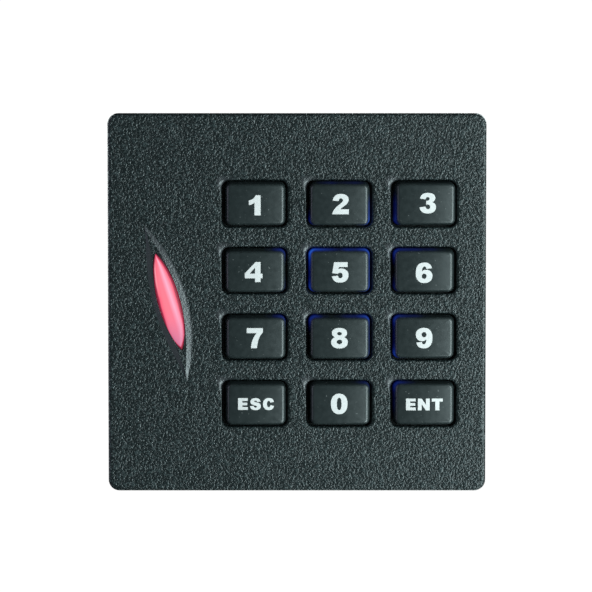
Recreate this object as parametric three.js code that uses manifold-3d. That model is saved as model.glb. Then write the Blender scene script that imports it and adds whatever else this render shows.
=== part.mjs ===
// Wall-mounted card reader with a twelve-key pad, as an assembly of separate parts.
// Millimetres, +Z up. The wall is the plane Y = 0, the reader looks along -Y, and +X is to
// its right as a person at the keypad sees it. "Depth" is the distance out from the wall,
// so depth d lies at Y = -d. The origin is the middle of the wall plate's back face.
import * as THREE from 'three';
import { mergeVertices } from 'three/addons/utils/BufferGeometryUtils.js';
import Module from 'manifold-3d';

const wasm = await Module();
wasm.setup();

// ---- driving dimensions ------------------------------------------------------------------

// housing
const bodySize = 86;
const bodyCornerRadius = 2.5;
const bodyEdgeBevel = 0.6;
const skirtDepth = 0.6;          // the rear edge of the front cover, just off the wall
const faceDepth = 18.4;          // the outer surface of the face
const faceThickness = 2.2;
const skirtWall = 1.8;
const insideCornerRadius = 1;      // of the mouldings' inner corners
const bodyWall = 3;
const ledgeDepth = 7.4;          // the step inside the front cover that the seal presses on

// wall plate
const plateSize = 82;
const plateThickness = 2;
const plateCornerRadius = 1.5;
const platePocketWidth = 21;     // shallow pockets in the plate's rear, which keep it from sinking
const platePocketHeight = 22;
const platePocketDepth = 0.7;
const platePocketRadius = 2;
const platePockets = [[-26, 25], [0, 25], [26, 25], [-26, -25], [26, -25]];
const fixingSpacing = 60;        // screw spacing of a standard 86 mm wall box
const fixingSlotWidth = 4.6;
const fixingSlotRadius = 2.29;   // just under half the width, so that the ends are round
const fixingSlotLength = 9;
const cableX = 0;
const cableZ = -16;
const cableWindowWidth = 24;
const cableWindowHeight = 18;
const cableWindowRadius = 3;
const hookX = 24;
const hookZ = 32;
const hookWidth = 10;
const hookThickness = 1.6;
const hookTipDepth = 4.2;
const hookLip = 2;
const hookLipThickness = 1;
const lugWidth = 11;
const lugThickness = 3;

// rear cover
const coverSize = 82;
const coverDepth = 5;            // its outer surface
const coverThickness = 1.6;
const spigotSize = 79.6;
const spigotWall = 1;
const spigotInnerRadius = 0.5;
const spigotHeight = 2;
const catchTipDepth = 2.3;
const catchLipThickness = 0.8;
const catchReach = 3.2;
const grommetHoleRadius = 5.5;
const grommetBore = 3.5;
const grommetLip = 1.6;
const grommetLipThickness = 1;
const grommetChamfer = 0.4;
const sealPlay = 0.4;            // what the seal lacks of its groove, over its whole width

// circuit board
const boardSize = 78;
const boardDepth = 9;            // its rear surface
const boardThickness = 1.6;
const boardNotch = 7.4;
const wireHoleRadius = 4;
const coilSize = 61;
const coilWinding = 3;
const coilCornerRadius = 8;
const ledSize = { width: 3.5, height: 2.8, tall: 1.9 };
const ledDimple = { radius: 1.1, depth: 0.5 };
const processorSize = [10, 10, 1.4];
const radioSize = [8.7, 6, 1.5];
const crystalSize = [11, 4.6, 3.4];
const regulatorSize = [6.5, 3.6, 1.7];
const frontPackageBevel = 0.2;
const rearPackageBevel = 0.15;
const buzzerSize = { radius: 4.8, tall: 4.6 };
const buzzerVent = { radius: 0.8, depth: 1 };
const capacitorBase = { width: 6.6, tall: 0.9 };
const capacitorCan = { radius: 3.15, tall: 5.2 };
const socketSize = { width: 15, height: 5.4, tall: 4.8 };
const socketMouth = { width: 13.4, height: 3, floor: 1, shiftZ: -0.4 };
const places = {
  processor: [12, 8],
  radio: [-12, 10],
  crystal: [5, 34.6],
  regulator: [-10.5, 34.6],
  capacitor: [29, -35],
  buzzer: [-29.5, -28],
  socket: [-29.5, 24],
  wireHole: [-29.5, 32],
};

// keypad
const columnPitch = 19.2;
const rowPitch = 15.15;
const keypadX = 9.55;
const keypadZ = -0.1;
const windowWidth = 15;
const windowHeight = 10.7;
const windowRadius = 1.5;
const capWidth = 13.6;
const capHeight = 9.6;
const capRadius = 1;
const capBevel = 0.4;
const capDepth = 20;             // the top of a key at rest
const flangeWidth = 16.8;
const flangeHeight = 12.3;
const flangeDepth = 15;
const flangeThickness = 0.9;
const stemWidth = 8;
const stemHeight = 5;
const stemRadius = 0.8;
const keyTravel = 1.2;
const pillRadius = 2.1;
const pillThickness = 0.5;
const matWidth = 57;
const matHeight = 59.4;
const matThickness = 0.8;
const matCornerRadius = 1.5;
const matLedPlay = 0.8;          // how much wider the mat's openings are than the lights in them
const collarHeight = 1.1;
const collarWall = 1.4;
const stemGap = 0.6;             // between a stem and the collar around it

// status light: a leaf with unequal sides, leaning to the left at its top
const leafX = -29.8;
const leafZ = -0.1;
const leafTilt = THREE.MathUtils.degToRad(15.25);
const leafLength = 36.6;
const leafRightBulge = 4.75;
const leafLeftBulge = 3.1;
const leafRise = 0.8;            // how far the mound stands out of the face
const moundTaper = { x: 0.8, z: 0.86 };
const lensTaper = { x: 0.55, z: 0.8 };
const slotLength = 24.6;
const slotRightBulge = 2.75;
const slotLeftBulge = 2.6;
const slotShiftX = 0.7;
const slotShiftZ = 0;
const lensTopDepth = 19.6;
const lensRearDepth = 14.2;
const lensFlange = 0.9;
const lensGap = 0.15;
const statusLedSpread = 5;       // each status light's distance up or down from the leaf's middle

// fasteners
const cornerBoss = 35.4;
const cornerBossRadius = 2.8;
const boardScrewX = [-21, 20];
const boardScrewZ = [-33.5, 33.5];
const boardBossRadius = 2.2;
const screwRadius = 1.1;
const housingScrewHead = { radius: 2.2, height: 1.4 };
const boardScrewHead = { radius: 1.9, height: 1.2 };
const screwRecess = { radius: 0.7, depth: 0.6, sides: 6 };
const screwTipDepth = 12;
const boardScrewTipDepth = 14;
const pilotBeyondTip = 1;
const lockDepth = 3.3;
const lockScrewRadius = 1.25;
const lockHeadRadius = 2.2;
const lockHeadHeight = 1.2;
const lockBoreGap = 0.15;
const lockHeadGap = 0.2;
const lockRecess = { radius: 0.8, depth: 0.7 };
const lockTipGap = 0.2;          // from the screw's tip to the lug's upper side
const lockBossWidth = 9;
const lockBossInset = 0.4;       // how far the boss stays back from the skirt's rear edge
const lockBossPlay = 1;

// fits and fineness
const clearance = 0.05;
const slidingGap = 0.3;
const cornerSteps = 2;           // each quarter turn is drawn with twice this many sides
const roundSides = 16;
const leafSteps = 12;
const overcut = 1;               // how far a cutting tool runs past the surface that it cuts
const overlap = 0.5;             // how far joined shapes run into each other
const dimpleSides = 12;

// ---- derived depths ----------------------------------------------------------------------

const faceInner = faceDepth - faceThickness;
const coverInner = coverDepth + coverThickness;
const boardFront = boardDepth + boardThickness;
const matRear = boardFront + 0.1;
const matFront = matRear + matThickness;
const pillRear = boardFront + keyTravel + clearance;
const stemRear = pillRear + pillThickness + clearance;
const lowerEdge = -bodySize / 2;
const counterboreTop = lowerEdge + 1.4;
const lugLow = lowerEdge + 3.6;
const lockBossHeight = 2;
const gapUnderCover = 0.2;
const keyNames = ['1', '2', '3', '4', '5', '6', '7', '8', '9', 'esc', '0', 'ent'];

// ---- materials ---------------------------------------------------------------------------

function plastic(color, roughness) {
  return new THREE.MeshStandardMaterial({ color, roughness, metalness: 0 });
}

function metal(color, roughness) {
  return new THREE.MeshStandardMaterial({ color, roughness, metalness: 1 });
}

const finishes = {
  housing: () => plastic(0x2e3638, 0.75),
  rearCover: () => plastic(0x1f2324, 0.7),
  key: () => plastic(0x2b3233, 0.55),
  rubber: () => plastic(0x1a1c1e, 0.9),
  silicone: () => plastic(0x3c4c78, 0.6),
  lens: () => plastic(0xf06f7d, 0.2),
  carbon: () => plastic(0x111111, 0.95),
  board: () => plastic(0x1f5a38, 0.5),
  chip: () => plastic(0x17181a, 0.5),
  socket: () => plastic(0xe9e4d4, 0.5),
  led: () => plastic(0xf4f3e6, 0.35),
  copper: () => metal(0xb0683a, 0.35),
  steel: () => metal(0xa9adb0, 0.35),
  can: () => metal(0xc7cacc, 0.3),
};

// ---- outlines, drawn in the plane of the face --------------------------------------------

function roundedRectangle(width, height, radius) {
  const halfWidth = width / 2;
  const halfHeight = height / 2;
  const shape = new THREE.Shape();
  shape.absarc(halfWidth - radius, halfHeight - radius, radius, 0, Math.PI / 2);
  shape.absarc(radius - halfWidth, halfHeight - radius, radius, Math.PI / 2, Math.PI);
  shape.absarc(radius - halfWidth, radius - halfHeight, radius, Math.PI, Math.PI * 1.5);
  shape.absarc(halfWidth - radius, radius - halfHeight, radius, Math.PI * 1.5, Math.PI * 2);
  shape.closePath();
  return shape;
}

function rectangle(width, height) {
  const shape = new THREE.Shape();
  shape.moveTo(-width / 2, -height / 2);
  shape.lineTo(width / 2, -height / 2);
  shape.lineTo(width / 2, height / 2);
  shape.lineTo(-width / 2, height / 2);
  shape.closePath();
  return shape;
}

// A leaf on a vertical chord: a full arc on the right, and a left side that runs out
// gently into both tips.
function leafOutline(length, rightBulge, leftBulge) {
  const points = [];
  for (let step = 0; step < leafSteps; step += 1) {
    const t = -1 + (2 * step) / leafSteps;
    points.push(new THREE.Vector2(rightBulge * (1 - t * t), (t * length) / 2));
  }
  for (let step = 0; step < leafSteps; step += 1) {
    const t = 1 - (2 * step) / leafSteps;
    points.push(new THREE.Vector2(-leftBulge * (1 - t * t) ** 1.4, (t * length) / 2));
  }
  return new THREE.Shape(points);
}

// ---- solids ------------------------------------------------------------------------------

// Stands a geometry that was drawn in XY and raised along Z up against the wall.
function faceOutwards(geometry, nearDepth) {
  geometry.rotateX(Math.PI / 2);
  geometry.translate(0, -nearDepth, 0);
  return geometry;
}

// An outline carried from one depth to another, with the same bevel at both ends.
function slab(outline, nearDepth, farDepth, bevel = 0) {
  const geometry = new THREE.ExtrudeGeometry(outline, {
    depth: farDepth - nearDepth - 2 * bevel,
    curveSegments: cornerSteps,
    bevelEnabled: bevel > 0,
    bevelThickness: bevel,
    bevelSize: bevel,
    bevelOffset: -bevel,
    bevelSegments: 2,
  });
  return faceOutwards(geometry, nearDepth + bevel);
}

function disc(radius, nearDepth, farDepth, sides = roundSides) {
  const geometry = new THREE.CylinderGeometry(radius, radius, farDepth - nearDepth, sides);
  geometry.translate(0, -(nearDepth + farDepth) / 2, 0);
  return geometry;
}

// A slab whose far outline is drawn in towards the middle.
function taperedSlab(outline, nearDepth, farDepth, taper) {
  const geometry = slab(outline, nearDepth, farDepth);
  const places = geometry.getAttribute('position');
  for (let i = 0; i < places.count; i += 1) {
    if (places.getY(i) < -(nearDepth + farDepth) / 2) {
      places.setX(i, places.getX(i) * taper.x);
      places.setZ(i, places.getZ(i) * taper.z);
    }
  }
  return geometry;
}

function solid(geometry) {
  const bare = geometry.clone();
  bare.deleteAttribute('normal');
  bare.deleteAttribute('uv');
  const welded = mergeVertices(bare);
  return new wasm.Manifold(new wasm.Mesh({
    numProp: 3,
    vertProperties: new Float32Array(welded.getAttribute('position').array),
    triVerts: new Uint32Array(welded.index.array),
  }));
}

function geometryOf(manifold) {
  const mesh = manifold.getMesh();
  const geometry = new THREE.BufferGeometry();
  geometry.setAttribute('position', new THREE.BufferAttribute(mesh.vertProperties, 3));
  geometry.setIndex(new THREE.BufferAttribute(mesh.triVerts, 1));
  geometry.computeVertexNormals();
  return geometry;
}

// Joins the first list of geometries and cuts the second list out of them.
function combine(joined, cut = []) {
  let body = solid(joined[0]);
  for (const geometry of joined.slice(1)) {
    body = body.add(solid(geometry));
  }
  for (const geometry of cut) {
    body = body.subtract(solid(geometry));
  }
  return geometryOf(body);
}

function at(geometry, x, z) {
  return geometry.translate(x, 0, z);
}

function inLeafFrame(geometry) {
  return at(geometry.rotateY(-leafTilt), leafX, leafZ);
}

function inSlotFrame(geometry) {
  return inLeafFrame(at(geometry, slotShiftX, slotShiftZ));
}

function part(name, finish, geometry, x = 0, z = 0) {
  const mesh = new THREE.Mesh(geometry, finish());
  mesh.name = name;
  mesh.position.set(x, 0, z);
  return mesh;
}

function assembly(...children) {
  const group = new THREE.Group();
  group.add(...children);
  return group;
}

// ---- repeated places ---------------------------------------------------------------------

function keyPlace(index) {
  const column = index % 3;
  const row = Math.floor(index / 3);
  return {
    x: keypadX + (column - 1) * columnPitch,
    z: keypadZ + (1.5 - row) * rowPitch,
  };
}

const keyPlaces = keyNames.map((name, index) => keyPlace(index));
const cornerPlaces = [-1, 1].flatMap((sideX) => [-1, 1].map((sideZ) => (
  { x: sideX * cornerBoss, z: sideZ * cornerBoss }
)));
const boardScrewPlaces = boardScrewX.flatMap((x) => boardScrewZ.map((z) => ({ x, z })));
const backlightPlaces = [1, 0, -1].flatMap((row) => [-0.5, 0.5].map((side) => (
  { x: keypadX + side * columnPitch, z: keypadZ + row * rowPitch }
)));

// ---- housing -----------------------------------------------------------------------------

const bossRoot = faceInner + overlap;
const cornerBossRear = coverInner + 0.1;
const boardBossRear = boardFront + clearance;
const pilotRadius = screwRadius + clearance;

function frontCoverGeometry() {
  const inner = bodySize - 2 * skirtWall;
  const cavity = bodySize - 2 * bodyWall;
  const outline = roundedRectangle(bodySize, bodySize, bodyCornerRadius);
  const shell = combine(
    [slab(outline, skirtDepth, faceDepth, bodyEdgeBevel)],
    [
      slab(roundedRectangle(inner, inner, insideCornerRadius), skirtDepth - overcut, ledgeDepth),
      slab(roundedRectangle(cavity, cavity, insideCornerRadius), ledgeDepth - overcut, faceInner),
    ],
  );
  const mound = inLeafFrame(taperedSlab(
    leafOutline(leafLength, leafRightBulge, leafLeftBulge),
    faceDepth - overcut, faceDepth + leafRise, moundTaper,
  ));
  const cornerBosses = cornerPlaces.map((place) => (
    at(disc(cornerBossRadius, cornerBossRear, bossRoot), place.x, place.z)
  ));
  const boardBosses = boardScrewPlaces.map((place) => (
    at(disc(boardBossRadius, boardBossRear, bossRoot), place.x, place.z)
  ));
  const lockBoss = at(
    slab(rectangle(lockBossWidth, lockBossHeight),
      skirtDepth + lockBossInset, coverDepth - gapUnderCover),
    0, lugLow - gapUnderCover - lockBossHeight / 2,
  );
  const windows = keyPlaces.map((place) => at(
    slab(roundedRectangle(windowWidth, windowHeight, windowRadius),
      faceInner - overcut, faceDepth + overcut),
    place.x, place.z,
  ));
  const lensSlot = inSlotFrame(slab(
    leafOutline(slotLength, slotRightBulge, slotLeftBulge),
    faceInner - overcut, faceDepth + leafRise + overcut,
  ));
  const cornerPilots = cornerPlaces.map((place) => (
    at(disc(pilotRadius, cornerBossRear - overcut, screwTipDepth + pilotBeyondTip),
      place.x, place.z)
  ));
  const boardPilots = boardScrewPlaces.map((place) => (
    at(disc(pilotRadius, boardBossRear - overcut, boardScrewTipDepth + pilotBeyondTip),
      place.x, place.z)
  ));
  return combine(
    [shell, mound, lockBoss, ...cornerBosses, ...boardBosses],
    [...windows, lensSlot, ...cornerPilots, ...boardPilots, lockBore(), lockCounterbore()],
  );
}

// The locking screw runs straight up through the lower wall, so its tools stand on Z.
function upright(radius, lowZ, highZ, depth) {
  const geometry = new THREE.CylinderGeometry(radius, radius, highZ - lowZ, roundSides);
  geometry.rotateX(Math.PI / 2);
  return geometry.translate(0, -depth, (lowZ + highZ) / 2);
}

function lockBore() {
  return upright(lockScrewRadius + lockBoreGap, lowerEdge - overcut, lugLow, lockDepth);
}

function lockCounterbore() {
  return upright(lockHeadRadius + lockHeadGap, lowerEdge - overcut, counterboreTop, lockDepth);
}

function rearCoverGeometry() {
  const spigotInner = spigotSize - 2 * spigotWall;
  const catchZ = hookZ + catchReach;
  const catches = [-1, 1].flatMap((side) => [
    at(slab(rectangle(hookWidth, hookThickness), catchTipDepth, coverDepth + overlap),
      side * hookX, catchZ),
    at(slab(rectangle(hookWidth, catchReach), catchTipDepth, catchTipDepth + catchLipThickness),
      side * hookX, catchZ - (catchReach - hookThickness) / 2),
  ]);
  const spigot = combine(
    [slab(roundedRectangle(spigotSize, spigotSize, insideCornerRadius),
      coverInner - overlap, coverInner + spigotHeight)],
    [slab(roundedRectangle(spigotInner, spigotInner, spigotInnerRadius),
      coverInner - overcut, coverInner + spigotHeight + overcut)],
  );
  const screwHoles = cornerPlaces.map((place) => (
    at(disc(screwRadius + slidingGap, coverDepth - overcut, coverInner + overcut), place.x, place.z)
  ));
  const grommetHole = at(
    disc(grommetHoleRadius, coverDepth - overcut, coverInner + overcut), cableX, cableZ,
  );
  return combine(
    [
      slab(roundedRectangle(coverSize, coverSize, insideCornerRadius), coverDepth, coverInner),
      spigot,
      ...catches,
    ],
    [...screwHoles, grommetHole],
  );
}

function sealGeometry() {
  const outer = coverSize - sealPlay;
  const inner = spigotSize + sealPlay;
  return combine(
    [slab(roundedRectangle(outer, outer, insideCornerRadius),
      coverInner + clearance, ledgeDepth - clearance)],
    [slab(roundedRectangle(inner, inner, insideCornerRadius),
      coverInner - overcut, ledgeDepth + overcut)],
  );
}

function grommetGeometry() {
  const lip = grommetHoleRadius + grommetLip;
  const neck = grommetHoleRadius - clearance;
  const lower = coverDepth - clearance;
  const upper = coverInner + clearance;
  const rear = lower - grommetLipThickness;
  const front = upper + grommetLipThickness;
  const profile = [
    [grommetBore, rear], [lip, rear], [lip, lower], [neck, lower],
    [neck, upper], [lip, upper], [lip - grommetChamfer, front], [grommetBore, front],
    [grommetBore, rear],
  ].map(([radius, depth]) => new THREE.Vector2(radius, -depth));
  return new THREE.LatheGeometry(profile.reverse(), roundSides);
}

// ---- wall plate --------------------------------------------------------------------------

function wallPlateGeometry() {
  const hooks = [-1, 1].flatMap((side) => [
    at(slab(rectangle(hookWidth, hookThickness), plateThickness - overlap, hookTipDepth),
      side * hookX, hookZ - hookThickness / 2),
    at(slab(rectangle(hookWidth, hookThickness + hookLip),
      hookTipDepth - hookLipThickness, hookTipDepth),
    side * hookX, hookZ - hookThickness / 2 + hookLip / 2),
  ]);
  const lug = at(
    slab(rectangle(lugWidth, lugThickness), plateThickness - overlap, coverDepth - gapUnderCover),
    0, lugLow + lugThickness / 2,
  );
  const slots = [-1, 1].map((side) => at(
    slab(roundedRectangle(fixingSlotLength, fixingSlotWidth, fixingSlotRadius),
      -overcut, plateThickness + overcut),
    (side * fixingSpacing) / 2, 0,
  ));
  const cableWindow = at(
    slab(roundedRectangle(cableWindowWidth, cableWindowHeight, cableWindowRadius),
      -overcut, plateThickness + overcut),
    cableX, cableZ,
  );
  const lugThread = upright(lockScrewRadius + clearance, lugLow - overcut,
    lugLow + lugThickness + overcut, lockDepth);
  const bossRelief = at(
    slab(rectangle(lockBossWidth + lockBossPlay, 2 * lockBossHeight),
      -overcut, plateThickness + overcut),
    0, lugLow - lockBossHeight,
  );
  const pockets = platePockets.map(([x, z]) => at(
    slab(roundedRectangle(platePocketWidth, platePocketHeight, platePocketRadius),
      -overcut, platePocketDepth),
    x, z,
  ));
  return combine(
    [slab(roundedRectangle(plateSize, plateSize, plateCornerRadius), 0, plateThickness), ...hooks, lug],
    [...slots, ...pockets, cableWindow, lugThread, bossRelief],
  );
}

// ---- status light ------------------------------------------------------------------------

function lensGeometry() {
  const outline = leafOutline(
    slotLength - 4 * lensGap, slotRightBulge - lensGap, slotLeftBulge - lensGap,
  );
  const crown = taperedSlab(outline, faceDepth, lensTopDepth, lensTaper);
  const stem = slab(outline, lensRearDepth, faceDepth);
  const flange = slab(
    leafOutline(slotLength + 2 * lensFlange, slotRightBulge + lensFlange, slotLeftBulge + lensFlange),
    faceInner - slidingGap - lensFlange, faceInner - slidingGap,
  );
  return inSlotFrame(combine([stem, crown, flange]));
}

// ---- keypad ------------------------------------------------------------------------------

function keyGeometry() {
  return combine([
    slab(roundedRectangle(capWidth, capHeight, capRadius), flangeDepth, capDepth, capBevel),
    slab(roundedRectangle(flangeWidth, flangeHeight, windowRadius),
      flangeDepth, flangeDepth + flangeThickness),
    slab(roundedRectangle(stemWidth, stemHeight, stemRadius), stemRear, flangeDepth + overlap),
  ]);
}

function matGeometry() {
  const holeWidth = stemWidth + 2 * stemGap;
  const holeHeight = stemHeight + 2 * stemGap;
  const collars = keyPlaces.map((place) => at(
    slab(rectangle(holeWidth + 2 * collarWall, holeHeight + 2 * collarWall),
      matFront - matThickness / 4, matFront + collarHeight),
    place.x, place.z,
  ));
  const stemHoles = keyPlaces.map((place) => at(
    slab(rectangle(holeWidth, holeHeight), matRear - overcut, matFront + collarHeight + overcut),
    place.x, place.z,
  ));
  const ledHoles = backlightPlaces.map((place) => at(
    slab(rectangle(ledSize.width + matLedPlay, ledSize.height + matLedPlay),
      matRear - overcut, matFront + overcut),
    place.x, place.z,
  ));
  const web = at(
    slab(roundedRectangle(matWidth, matHeight, matCornerRadius), matRear, matFront),
    keypadX, keypadZ,
  );
  return combine([web, ...collars], [...stemHoles, ...ledHoles]);
}

// ---- circuit board and what it carries ---------------------------------------------------

function boardGeometry() {
  const corner = boardSize / 2;
  const notches = [-1, 1].flatMap((sideX) => [-1, 1].map((sideZ) => at(
    slab(rectangle(2 * boardNotch, 2 * boardNotch), boardDepth - overcut, boardFront + overcut),
    sideX * corner, sideZ * corner,
  )));
  const screwHoles = boardScrewPlaces.map((place) => (
    at(disc(screwRadius + slidingGap, boardDepth - overcut, boardFront + overcut), place.x, place.z)
  ));
  const wireHole = at(
    disc(wireHoleRadius, boardDepth - overcut, boardFront + overcut), ...places.wireHole,
  );
  return combine(
    [slab(rectangle(boardSize, boardSize), boardDepth, boardFront)],
    [...notches, ...screwHoles, wireHole],
  );
}

function coilGeometry() {
  const rear = coverInner + slidingGap;
  const front = boardDepth - slidingGap;
  const inner = coilSize - 2 * coilWinding;
  return combine(
    [slab(roundedRectangle(coilSize, coilSize, coilCornerRadius), rear, front)],
    [slab(roundedRectangle(inner, inner, coilCornerRadius - coilWinding),
      rear - overcut, front + overcut)],
  );
}

// A packaged component standing on the front of the board.
function onFront(width, height, tall) {
  const rear = boardFront + clearance;
  return slab(rectangle(width, height), rear, rear + tall, frontPackageBevel);
}

// A packaged component under the rear of the board.
function onRear(width, height, tall) {
  const front = boardDepth - clearance;
  return slab(rectangle(width, height), front - tall, front, rearPackageBevel);
}

function ledGeometry() {
  const rear = boardFront + clearance;
  const front = rear + ledSize.tall;
  return combine(
    [slab(rectangle(ledSize.width, ledSize.height), rear, front)],
    [disc(ledDimple.radius, front - ledDimple.depth, front + overcut, dimpleSides)],
  );
}

function buzzerGeometry() {
  const rear = boardFront + clearance;
  const front = rear + buzzerSize.tall;
  return combine(
    [disc(buzzerSize.radius, rear, front)],
    [disc(buzzerVent.radius, front - buzzerVent.depth, front + overcut, dimpleSides)],
  );
}

function capacitorGeometry() {
  const rear = boardFront + clearance;
  return combine([
    slab(rectangle(capacitorBase.width, capacitorBase.width), rear, rear + capacitorBase.tall),
    disc(capacitorCan.radius, rear + overlap, rear + capacitorCan.tall),
  ]);
}

function socketGeometry() {
  const rear = boardFront + clearance;
  const front = rear + socketSize.tall;
  const mouth = slab(rectangle(socketMouth.width, socketMouth.height),
    rear + socketMouth.floor, front + overcut);
  return combine(
    [slab(rectangle(socketSize.width, socketSize.height), rear, front)],
    [at(mouth, 0, socketMouth.shiftZ)],
  );
}

// ---- fasteners ---------------------------------------------------------------------------

// A pan-head screw driven outwards from the rear, with a cross recess left as a plain hole.
function rearScrewGeometry(seatDepth, tipDepth, head) {
  const headRear = seatDepth - head.height;
  return combine(
    [
      disc(head.radius, headRear, seatDepth - clearance),
      disc(screwRadius, seatDepth - overlap, tipDepth),
    ],
    [disc(screwRecess.radius, headRear - overcut, headRear + screwRecess.depth, screwRecess.sides)],
  );
}

function lockingScrewGeometry() {
  const headLow = counterboreTop - clearance - lockHeadHeight;
  return combine(
    [
      upright(lockHeadRadius, headLow, counterboreTop - clearance, lockDepth),
      upright(lockScrewRadius, counterboreTop - overlap, lugLow + lugThickness - lockTipGap,
        lockDepth),
    ],
    [upright(lockRecess.radius, headLow - overcut, headLow + lockRecess.depth, lockDepth)],
  );
}

// ---- the assembly ------------------------------------------------------------------------

const housing = assembly(
  part('front_cover', finishes.housing, frontCoverGeometry()),
  part('rear_cover', finishes.rearCover, rearCoverGeometry()),
  part('perimeter_seal', finishes.rubber, sealGeometry()),
  part('cable_grommet', finishes.rubber, grommetGeometry(), cableX, cableZ),
  part('wall_plate', finishes.rearCover, wallPlateGeometry()),
  part('status_lens', finishes.lens, lensGeometry()),
);

const keys = assembly(...keyPlaces.map((place, index) => (
  part(`key_${keyNames[index]}`, finishes.key, keyGeometry(), place.x, place.z)
)));

const pills = assembly(...keyPlaces.map((place, index) => part(
  `contact_pill_${keyNames[index]}`, finishes.carbon,
  disc(pillRadius, pillRear, pillRear + pillThickness), place.x, place.z,
)));

const keypad = assembly(part('keypad_mat', finishes.silicone, matGeometry()), keys, pills);

const backlights = assembly(...backlightPlaces.map((place, index) => (
  part(`backlight_led_${index + 1}`, finishes.led, ledGeometry(), place.x, place.z)
)));

const statusLedLean = statusLedSpread * Math.tan(leafTilt);
const statusLights = assembly(
  part('status_led_red', finishes.led, ledGeometry(),
    leafX + slotShiftX - statusLedLean, leafZ + statusLedSpread),
  part('status_led_green', finishes.led, ledGeometry(),
    leafX + slotShiftX + statusLedLean, leafZ - statusLedSpread),
);

const electronics = assembly(
  part('main_board', finishes.board, boardGeometry()),
  part('antenna_coil', finishes.copper, coilGeometry()),
  part('processor_chip', finishes.chip, onRear(...processorSize), ...places.processor),
  part('radio_chip', finishes.chip, onRear(...radioSize), ...places.radio),
  part('clock_crystal', finishes.can, onFront(...crystalSize), ...places.crystal),
  part('voltage_regulator', finishes.chip, onFront(...regulatorSize), ...places.regulator),
  part('smoothing_capacitor', finishes.can, capacitorGeometry(), ...places.capacitor),
  part('buzzer', finishes.chip, buzzerGeometry(), ...places.buzzer),
  part('cable_socket', finishes.socket, socketGeometry(), ...places.socket),
  backlights,
  statusLights,
);

const housingScrews = assembly(...cornerPlaces.map((place, index) => part(
  `housing_screw_${index + 1}`, finishes.steel,
  rearScrewGeometry(coverDepth, screwTipDepth, housingScrewHead), place.x, place.z,
)));

const boardScrews = assembly(...boardScrewPlaces.map((place, index) => part(
  `board_screw_${index + 1}`, finishes.steel,
  rearScrewGeometry(boardDepth, boardScrewTipDepth, boardScrewHead), place.x, place.z,
)));

const fasteners = assembly(
  housingScrews,
  boardScrews,
  part('locking_screw', finishes.steel, lockingScrewGeometry()),
);

const group = assembly(housing, keypad, electronics, fasteners);

export default group;
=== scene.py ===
"""Looks of the keypad card reader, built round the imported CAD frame.

Everything is worked out in millimetres as (x, depth, z), where depth is the distance out from
the wall, and is turned into metres, with y = -depth, where a mesh is made.
"""

import math

import bmesh
import bpy
from mathutils import Matrix, Vector
from mathutils.geometry import delaunay_2d_cdt


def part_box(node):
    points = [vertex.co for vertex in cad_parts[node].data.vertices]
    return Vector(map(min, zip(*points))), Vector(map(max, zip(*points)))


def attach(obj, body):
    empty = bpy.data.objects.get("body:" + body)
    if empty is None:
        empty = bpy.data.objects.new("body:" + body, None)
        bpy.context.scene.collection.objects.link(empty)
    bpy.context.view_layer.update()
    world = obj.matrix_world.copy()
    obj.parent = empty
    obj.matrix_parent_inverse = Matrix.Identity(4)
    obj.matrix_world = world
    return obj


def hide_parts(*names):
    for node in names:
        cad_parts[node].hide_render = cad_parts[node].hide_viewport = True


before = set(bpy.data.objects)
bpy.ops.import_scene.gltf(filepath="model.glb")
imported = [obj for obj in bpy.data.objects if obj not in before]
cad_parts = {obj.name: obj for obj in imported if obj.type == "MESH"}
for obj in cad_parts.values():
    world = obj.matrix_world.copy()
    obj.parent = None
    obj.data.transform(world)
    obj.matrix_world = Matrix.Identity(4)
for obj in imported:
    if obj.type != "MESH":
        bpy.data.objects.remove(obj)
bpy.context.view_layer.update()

MM = 0.001

# ---- places and sizes read from the frame, in millimetres ----


def limits(node):
    """Lowest and highest (x, depth, z) of a CAD node."""
    low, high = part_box(node)
    return (low.x / MM, -high.y / MM, low.z / MM), (high.x / MM, -low.y / MM, high.z / MM)


def middle(node):
    """The middle of a CAD node, as (x, z)."""
    low, high = limits(node)
    return (low[0] + high[0]) / 2, (low[2] + high[2]) / 2


KEYS = [*"123456789", "esc", "0", "ent"]
KEY_PLACES = {key: middle(f"key_{key}") for key in KEYS}

# Depths of the keys' tops and of the front shell's face, ledge for the rear cover and rear edge.
KEY_TOP = limits("key_5")[1][1]
KEY_PROUD = 1.6
FACE = KEY_TOP - KEY_PROUD
FACE_INNER = FACE - 2.2
LEDGE = 7.4
REAR_EDGE = limits("front_cover")[0][1]
# Half the width of the shell, of its opening behind the ledge, and of its cavity.
BODY_HALF = limits("front_cover")[1][0]
OPENING_HALF = BODY_HALF - 1.8
CAVITY_HALF = BODY_HALF - 3
BODY_CORNER = 2.5
INNER_CORNER = BODY_CORNER - 1
BODY_FILLET = 0.75
REAR_FILLET = 0.3
# The ring that keeps the face flat beside its rounded edges.
FLAT_CORNER = BODY_CORNER - 0.6
BODY_MARGIN = 0.4
WINDOW_MARGIN = 0.3

# Screw bosses inside the front cover, as (radius, depth of the rear end), and their pilots.
HOUSING_BOSS = (2.8, 6.7)
BOARD_BOSS = (2.2, 10.65)
PILOT_RADIUS = 1.15
PILOT_BEYOND_TIP = 1
# The locking screw comes up through the lower wall and through a block behind that wall.
LOCK_LOW, LOCK_HIGH = limits("locking_screw")
LOCK_DEPTH = (LOCK_LOW[1] + LOCK_HIGH[1]) / 2
LOCK_BORE = 1.4
LOCK_SEAT = (2.35, 1.4)  # radius of the recess for its head, and how deep that goes
LOCK_BLOCK = (9, 3.8, 2)  # its width, thickness from back to front, and height
LOCK_BLOCK_TOP = 3.4  # above the underside of the body
LOCK_BLOCK_BACK = 0.4  # how far the block's middle lies behind the screw's axis
CUT_BEYOND = 1  # how far a cutting cylinder passes what it cuts

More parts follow.
